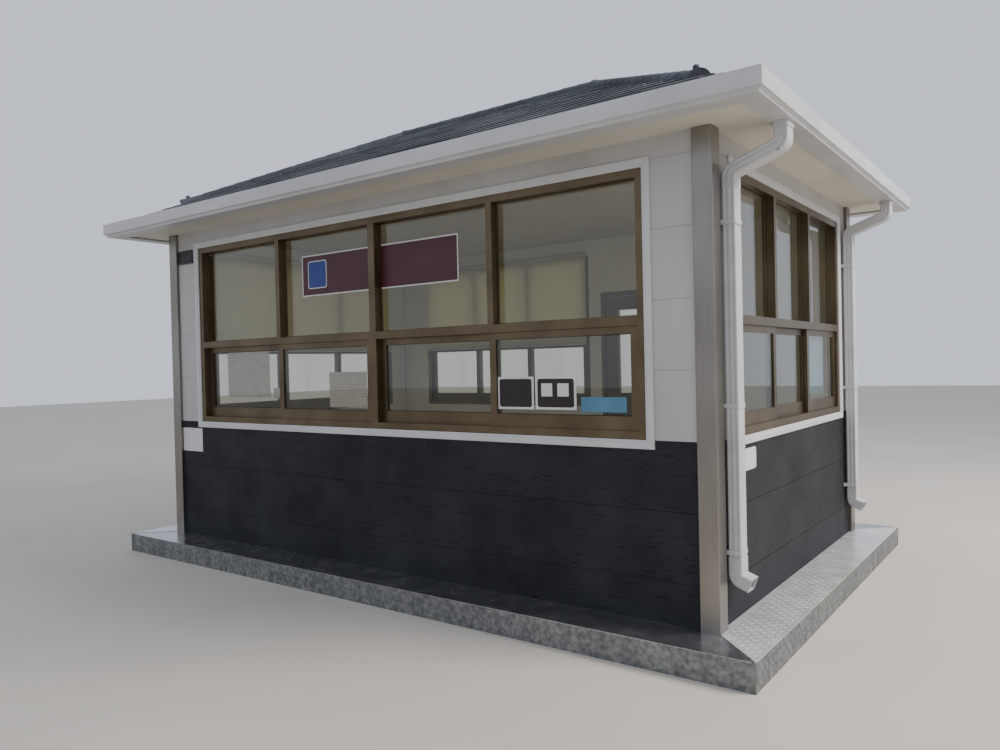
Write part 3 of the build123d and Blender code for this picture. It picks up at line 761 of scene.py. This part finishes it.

# Gutters
# White extruded plastic, clipped to the eaves boards. Lengths are pushed together at
# the corners, where a thin dirty seam shows. A dark strip of painted shade runs along the
# boards, for the shadow in the gap between the gutters and the boards.

seam_half, seam_depth = 0.0013, 0.001
long_seam, side_seam = 2.684, 1.42
joint_x, joint_y, joint_width, joint_low, joint_high = 2.7448, 1.7448, 0.010, 2.7735, 2.7749
plastic_tones = [(0.3, (0.48, 0.48, 0.48)), (0.7, (0.57, 0.57, 0.58))]
seam_tone = (0.0, (0.10, 0.10, 0.10))


def plastic_finish(name):
    """White plastic with a faint film of dirt, and the level of that film."""
    finish = new_finish(name, 0.34)
    film = grain(finish, 2.4, (1, 1, 3), 4.0)
    shone(finish, film, 0.26, 0.46)
    return finish, film


def gutter_finish(name, axis, place):
    """White plastic with a dark seam at that place along one axis, or at both of its signs where
    place is positive."""
    finish, film = plastic_finish(name)
    along_gutter = coordinate(finish, axis)
    if place > 0:
        along_gutter = reckon(finish, "ABSOLUTE", along_gutter)
    seam = reckon(finish, "COMPARE", along_gutter, place, seam_half)
    colored(finish, reckon(finish, "MULTIPLY_ADD", seam, -0.60, film), [seam_tone, *plastic_tones])
    embossed(finish, reckon(finish, "MULTIPLY", seam, -1.0), seam_depth)
    return finish


clad(gutter_finish("plastic_seamed_left", "X", -long_seam), "front_gutter")
clad(gutter_finish("plastic_seamed_ends", "X", long_seam), "back_gutter")
clad(gutter_finish("plastic_seamed_sides", "Y", side_seam), "right_gutter", "left_gutter")


def eaves_ring(out_x, out_y, width, low, high):
    """A flat square-cornered ring round the eaves, as four points at each corner."""
    rings = []
    for sx, sy in corner_signs:
        outer, inner = (sx * out_x, sy * out_y), (sx * (out_x - width), sy * (out_y - width))
        rings.append([(*outer, low), (*inner, low), (*inner, high), (*outer, high)])
    return lofted(rings, True)


# The joint is a dark strip of painted shade, for the shadow in the gap under the gutters.
joint = eaves_ring(joint_x, joint_y, joint_width, joint_low, joint_high)
fixed(new_piece("eaves_joint", [joint]), rubber_and_gap_shade, "dark_vent")

# Downpipes
# Rectangular white plastic pipe, 95 by 70 mm, fluted along its length and over its
# offset, with a plain collar under the gutter and a plain shoe over the deck.

pipe_y, drop_x, pipe_x, pipe_head = 1.313, 2.805, 2.531, 2.7615
collar_foot, elbow_foot, shoe_top = 2.7335, 2.470, 0.522
pipe_half_width, pipe_half_depth, pipe_edge = 0.0475, 0.035, 0.007
collar_grow, elbow_grow, pipe_grow, shoe_grow, bore_grow = 0.0065, 0.0015, -0.0005, 0.003, -0.003
flute_depth, bend_radius, bend_steps = 0.0022, 0.042, 9
pipe_route = [(drop_x, pipe_head), (drop_x, 2.655), (pipe_x, 2.5553), (pipe_x, 0.412), (2.609, 0.3836)]


def bent_route(corners):
    """Points and directions of straight runs joined by tangent arcs. Each arc starts its radius
    times the tangent of half the turn before its corner, and its direction swings evenly from
    one run to the next."""
    corners = np.asarray(corners, float)
    runs = np.diff(corners, axis=0)
    ways = runs / np.linalg.norm(runs, axis=1)[:, None]
    points, directions = [corners[:1]], [ways[:1]]
    for before, after, corner in zip(ways[:-1], ways[1:], corners[1:-1]):
        angle = np.arccos(before @ after)
        across = (after - before * np.cos(angle)) / np.sin(angle)
        swing = np.linspace(0, angle, bend_steps)[:, None]
        begin = corner - before * bend_radius * np.tan(angle / 2)
        points.append(begin + bend_radius * (np.sin(swing) * before + (1 - np.cos(swing)) * across))
        directions.append(np.cos(swing) * before + np.sin(swing) * across)
    return np.concatenate(points + [corners[-1:]]), np.concatenate(directions + [ways[-1:]])


def pipe_ring(point, way, y, grow, flute):
    """The pipe's section across its route: a rounded rectangle whose sides are set in by flute in
    a row of cosine grooves, turned to stand square to the way."""
    wide, deep, corner = pipe_half_width + grow, pipe_half_depth + grow, pipe_edge + grow
    bend = np.radians(np.linspace(0, 90, 4))
    s = np.linspace(-1, 1, 25)[1:-1]
    parts = []
    for quarter in range(4):
        w, h, ribs = (wide, deep, 2) if quarter % 2 == 0 else (deep, wide, 3)
        inset = flute * (0.5 - 0.5 * np.cos(np.pi * ribs * (s + 1))) ** 3
        side = np.stack([w - inset, s * (h - corner)], 1)
        edge = np.stack([w - corner + corner * np.cos(bend), h - corner + corner * np.sin(bend)], 1)
        c, d = np.cos(quarter * np.pi / 2), np.sin(quarter * np.pi / 2)
        parts.append(np.concatenate([side, edge]) @ np.array([(c, d), (-d, c)]))
    flat = np.concatenate(parts)
    across = np.array((-way[1], 0, way[0]))
    return np.array((point[0], y, point[1])) + flat[:, :1] * np.array((0, 1.0, 0)) + flat[:, 1:] * across


def downpipe_shell(y):
    """Rings down the outside and back up the inside, joined into one closed wall."""
    points, ways = bent_route(pipe_route)
    shoe = 1 + 2 * bend_steps
    down = np.array((0.0, -1.0))
    collar = ((pipe_head, collar_grow), (collar_foot, collar_grow), (collar_foot - 0.0015, elbow_grow))
    straight = ((elbow_foot, elbow_grow, 0.0), (elbow_foot - 0.0005, pipe_grow, flute_depth),
                (shoe_top + 0.0005, pipe_grow, flute_depth), (shoe_top, shoe_grow, 0.0))
    rows = [((drop_x, z), down, grow, 0.0) for z, grow in collar]
    rows += [(p, w, elbow_grow, flute_depth) for p, w in zip(points[1:shoe], ways[1:shoe])]
    rows += [((pipe_x, z), down, grow, flute) for z, grow, flute in straight]
    rows += [(p, w, shoe_grow, 0.0) for p, w in zip(points[shoe:], ways[shoe:])]
    rows += [(p, w, bore_grow, 0.0) for p, w in zip(points[::-1], ways[::-1])]
    return lofted([pipe_ring(p, w, y, grow, flute) for p, w, grow, flute in rows], True)


plastic, pipe_film = plastic_finish("white_plastic")
colored(plastic, pipe_film, plastic_tones)
fixed(new_piece("front_pipe", [downpipe_shell(-pipe_y)], 40), plastic, "white_gutter", "front_downpipe")
fixed(new_piece("rear_pipe", [downpipe_shell(pipe_y)], 40), plastic, "white_gutter", "rear_downpipe")

# Pipe bands
# White plastic straps round the pipes at three levels. Each has an ear on both sides,
# held to the wall by a stainless screw, and one more screw holds each drop's elbow.

band_levels, band_half_height = (0.55, 1.325, 2.29), 0.013
band_wall, band_front, band_half, band_bend = 2.4762, 2.569, 0.0505, 0.010
band_sheet, band_ear = 0.0028, 0.016


def half_strap(inset):
    """One front corner of the strap in plan: a quarter circle, set in from its outer face."""
    bend = np.radians(np.linspace(90, 0, 5))
    radius = band_bend - inset
    middle = np.array((band_front - band_bend, band_half - band_bend))
    return middle + radius * np.stack([np.cos(bend), np.sin(bend)], 1)


def band_shell(y, z):
    """A strap round the pipe: a U in plan with rounded corners and ears that lie on the wall, at
    its lower and its upper edge."""
    outer, inner = half_strap(0.0), half_strap(band_sheet)
    ear_end, ear_face = band_half + band_ear, band_wall + band_sheet
    ear = np.array([(band_wall, band_half - band_sheet), (band_wall, ear_end),
                    (ear_face, ear_end), (ear_face, band_half)])
    right_side = np.concatenate([ear, outer])
    back = np.concatenate([inner * (1, -1), inner[::-1]])
    plan = np.concatenate([right_side, right_side[::-1] * (1, -1), back]) + (0, y)
    return lofted([np.column_stack([plan, np.full(len(plan), z + lift)])
                   for lift in (-band_half_height, band_half_height)])


def screw_head(center, normal, radius):
    """A low dome: rings of falling radius along the normal."""
    normal = np.array(normal, float)
    side = np.cross(normal, (0, 0, 1.0))
    up = np.cross(side, normal)
    spin = np.radians(np.arange(0, 360, 30))[:, None]
    ring = np.cos(spin) * side + np.sin(spin) * up
    return lofted([np.array(center) + rise * radius * normal + share * radius * ring
                   for rise, share in ((-0.2, 1.0), (0.15, 1.0), (0.4, 0.75), (0.5, 0.2))])


pipe_sides = (-pipe_y, pipe_y)
bands = [band_shell(y, z) for y in pipe_sides for z in band_levels]
fixed(new_piece("pipe_bands", bands, 40), plastic, "white_gutter", "pipe_clips")
ear_screw_x, ear_screw_off, ear_screw_radius = 2.479, 0.059, 0.0035
elbow_screw_x, elbow_screw_off, elbow_screw_z, elbow_screw_radius = 2.792, 0.0489, 2.619, 0.005
screws = [screw_head((ear_screw_x, y + s * ear_screw_off, z), (1, 0, 0), ear_screw_radius)
          for y in pipe_sides for z in band_levels for s in (1, -1)]
screws += [screw_head((elbow_screw_x, y - elbow_screw_off, elbow_screw_z), (0, -1, 0), elbow_screw_radius)
           for y in pipe_sides]
fixed(new_piece("pipe_screws", screws, 40), stainless, "stainless_steel")

# Blinds
# Cream roller cloth in front of the upper lights of the back and left windows, with
# a hem bar at its foot and a tube between brackets at its head.

cloth = two_toned("blind_cloth", 0.8, 700.0, (0.74, 0.71, 0.55), (0.84, 0.81, 0.66), detail=1.0)
glow = add_node(cloth, "BsdfTranslucent", {"Color": (0.90, 0.86, 0.68, 1)})
woven = cloth.node_tree.nodes["Principled BSDF"]
surfaced(cloth, add_node(cloth, "MixShader", {0: 0.55, 1: woven.outputs[0], 2: glow.outputs[0]}))

cloth_head, cloth_drop, cloth_thickness, cloth_out, cloth_inset = 2.630, 0.870, 0.0005, 0.0245, 0.002
tube_z, tube_out, tube_thickness = 2.641, 0.041, 0.037
hem_z, hem_height, hem_thickness = 1.755, 0.022, 0.009
bracket_half, bracket_out, bracket_reach, bracket_sheet = 0.025, 0.040, 0.022, 0.003


def inside(place, u, v, out):
    """An array of places on the room side of a wall."""
    return np.stack(np.broadcast_arrays(*place(u, v, out)), -1)


def thin_ring(place, u, v, out, thickness):
    """A thin sheet's section at one height: along its face, and back along its other side."""
    return np.concatenate([inside(place, u, v, out), inside(place, u, v, out - thickness)[::-1]])


def hung_cloth(place, u0, u1):
    """A thin cloth. Its distance from the wall is a slow sine along its width that grows with
    the drop, plus a small quick sine."""
    u = np.linspace(u0, u1, 61)
    slow, quick = np.sin((u - u0) * 7.3 + 0.8), np.sin((u - u0) * 31.0)
    rings = []
    for share in np.linspace(0, 1, 14):
        v = cloth_head - share * cloth_drop
        out = cloth_out + 0.0022 * share * slow + 0.0008 * quick
        rings.append(thin_ring(place, u, v, out, cloth_thickness))
    return lofted(rings)


def round_bar(place, u0, u1, v, out, tall, thick):
    """A bar along the wall. Its section is an oval, by sine for the height and cosine for the
    thickness, a little smaller at both ends."""
    spin = np.radians(np.arange(0, 360, 15))
    spans = ((u0, 0.8), (u0 + 0.003, 1.0), (u1 - 0.003, 1.0), (u1, 0.8))
    return lofted([inside(place, u, v + size * tall / 2 * np.sin(spin), out + size * thick / 2 * np.cos(spin))
                   for u, size in spans])


def blind_bracket(place, u):
    """A stamped side plate: its front edge is half an oval, at two places along the wall."""
    bend = np.radians(np.linspace(-90, 90, 9))
    v = tube_z + bracket_half * np.concatenate([[-1], np.sin(bend), [1]])
    out = np.concatenate([[0.0012], bracket_out + bracket_reach * np.cos(bend), [0.0012]])
    return lofted([inside(place, u + shift, v, out) for shift in (-bracket_sheet / 2, bracket_sheet / 2)])


for name, place, u0, u1 in (("back", on_back, -2.020, 0.080), ("left", on_left, -1.148, 1.148)):
    bars = [round_bar(place, u0, u1, tube_z, tube_out, tube_thickness, tube_thickness),
            round_bar(place, u0, u1, hem_z, cloth_out, hem_height, hem_thickness)]
    bars += [blind_bracket(place, u) for u in (u0 - cloth_inset, u1 + cloth_inset)]
    fittings = new_piece(name + "_blind_fittings", bars, 40)
    fixed(fittings, trim_finish, "white_trim")
    drape = new_piece(name + "_blind_cloth", [hung_cloth(place, u0 + cloth_inset, u1 - cloth_inset)], 60)
    fixed(drape, cloth, "blind_cloth", name + "_blind")

# Vent
# A dark plastic louvre over the front wall's left end, pushed into a hole under the
# eaves.

clad(two_toned("dark_louvre", 0.5, 30.0, (0.020, 0.020, 0.022), (0.045, 0.044, 0.042)), "vent_grille")

# Window sign
# A printed film pressed on the outside of two upper panes of the front window: a plain
# dark red field in a white border, with a rounded blue square at its left end.


def card(place, u0, v0, u1, v1, low, high, corner=0.001):
    """A flat card: a rectangle with a quarter circle at each corner, at two distances from the
    wall."""
    bend = np.radians(np.linspace(0, 90, 5))
    left, right, foot, top = u0 + corner, u1 - corner, v0 + corner, v1 - corner
    centers = [(right, top), (left, top), (left, foot), (right, foot)]
    outline = [(u + corner * np.cos(a + k * np.pi / 2), v + corner * np.sin(a + k * np.pi / 2))
               for k, (u, v) in enumerate(centers) for a in bend]
    return lofted([[place(u, v, out) for u, v in outline] for out in (low, high)])


white_print = two_toned("white_print", 0.45, 5.0, (0.60, 0.59, 0.58), (0.68, 0.67, 0.66))
red_print = two_toned("dark_red_print", 0.45, 5.0, (0.050, 0.006, 0.013), (0.066, 0.009, 0.018))
brown_print = two_toned("dark_brown_print", 0.45, 5.0, (0.012, 0.005, 0.006), (0.018, 0.008, 0.009))
blue_print = two_toned("blue_print", 0.45, 5.0, (0.012, 0.030, 0.19), (0.018, 0.042, 0.24))
pale_blue_print = two_toned("pale_blue_print", 0.45, 5.0, (0.055, 0.17, 0.27), (0.08, 0.22, 0.33))

sign_left, sign_right, sign_foot, sign_top = -0.812, 0.742, 2.123, 2.434
sign_border, bar_clear = 0.009, 0.0325
field_left, field_right = sign_left + sign_border, sign_right - sign_border
field_foot, field_top = sign_foot + sign_border, sign_top - sign_border
first_layer, second_layer = (0.0001, 0.0004), (0.0004, 0.0008)
third_layer, fourth_layer = (0.0008, 0.0011), (0.0011, 0.0014)
white_cards = [
    card(upper_pane, sign_left, sign_foot, -bar_clear, sign_top, *first_layer, 0.003),
    card(upper_pane, bar_clear, sign_foot, sign_right, sign_top, *first_layer, 0.003),
    card(upper_pane, -0.745, 2.178, -0.535, 2.388, *third_layer, 0.022),
]
red_cards = [
    card(upper_pane, field_left, field_foot, -bar_clear, field_top, *second_layer),
    card(upper_pane, bar_clear, field_foot, field_right, field_top, *second_layer),
]
blue_cards = [card(upper_pane, -0.738, 2.185, -0.542, 2.381, *fourth_layer, 0.018)]

# Stickers on the lower sashes
# Two dark films in white borders, the second with two pale squares, and a pale blue
# strip, all pressed on the outside of the right sash.

white_cards += [
    card(outer_sash, 1.0655, 1.292, 1.337, 1.492, *first_layer, 0.004),
    card(outer_sash, 1.348, 1.293, 1.636, 1.492, *first_layer, 0.004),
]
brown_cards = [
    card(outer_sash, 1.080, 1.306, 1.322, 1.478, *second_layer, 0.016),
    card(outer_sash, 1.364, 1.307, 1.620, 1.478, *second_layer, 0.016),
]
white_cards += [card(outer_sash, u, 1.372, u + 0.078, 1.450, *third_layer, 0.003) for u in (1.392, 1.506)]
pale_blue_cards = [card(outer_sash, 1.667, 1.283, 1.962, 1.370, 0.0001, 0.0005, 0.002)]

# Wall labels
# A plain white notice stuck to the dark panels beside the left post, and a small white
# plate with round corners on the right wall beside the front pipe.

white_cards += [
    card(on_wall(0, 1.4760), -2.386, 0.876, -2.098, 1.078, 0.0003, 0.0023, 0.004),
    card(on_wall(90, 2.4760), -1.055, 0.937, -0.838, 1.062, 0.0003, 0.0018, 0.020),
]
films = (("white", white_cards, white_print, "white_trim"), ("red", red_cards, red_print, "dark_panel"),
         ("brown", brown_cards, brown_print, "dark_panel"), ("blue", blue_cards, blue_print, "dark_panel"),
         ("pale_blue", pale_blue_cards, pale_blue_print, "white_trim"))
for tone, cards, print_finish, slot in films:
    fixed(new_piece(tone + "_films", cards), print_finish, slot)

# Papers
# Sheets taped inside the lower panes, ruled with faint grey lines, and one blue sheet
# inside the last pane of the right window.

lines_per_metre, ruled_share = 44.0, 0.72
paper = new_finish("ruled_paper", 0.8)
line_place = reckon(paper, "FRACT", reckon(paper, "MULTIPLY", coordinate(paper, "Z"), lines_per_metre))
blotches = grain(paper, 14.0, (1, 1, 1), 3.0)
ruled = reckon(paper, "MULTIPLY", reckon(paper, "GREATER_THAN", line_place, ruled_share),
               reckon(paper, "GREATER_THAN", blotches, 0.42))
colored(paper, reckon(paper, "MULTIPLY_ADD", ruled, -0.3, blotches),
        [(0.0, (0.34, 0.31, 0.31)), (0.3, (0.50, 0.45, 0.44)), (0.7, (0.58, 0.53, 0.51))])
paper_thickness, paper_curl, behind_sash, behind_side_pane = 0.0003, 0.0030, -0.0068, -0.0070


def taped_sheet(place, u0, v0, u1, v1, out):
    """A thin sheet. It curls by the square of the share of its height, times a cosine along its
    width."""
    u = np.linspace(u0, u1, 15)
    wave = 0.6 + 0.4 * np.cos((u - u0) / (u1 - u0) * 6.0)
    rings = []
    for share in np.linspace(0, 1, 9):
        v = v1 - share * (v1 - v0)
        face = out - paper_curl * share ** 2 * wave
        rings.append(thin_ring(place, u, v, face, paper_thickness))
    return lofted(rings)


papers = [
    taped_sheet(inner_sash, -1.805, 1.346, -1.243, 1.724, behind_sash),
    taped_sheet(inner_sash, -1.200, 1.346, -1.115, 1.424, behind_sash),
    taped_sheet(outer_sash, -0.505, 1.281, -0.105, 1.541, behind_sash),
]
fixed(new_piece("ruled_papers", papers, 40), paper, "white_trim")
blue_sheet = taped_sheet(on_wall(90, 2.4160), 0.52, 1.300, 0.96, 1.715, behind_side_pane)
fixed(new_piece("blue_paper", [blue_sheet], 40), pale_blue_print, "white_trim")
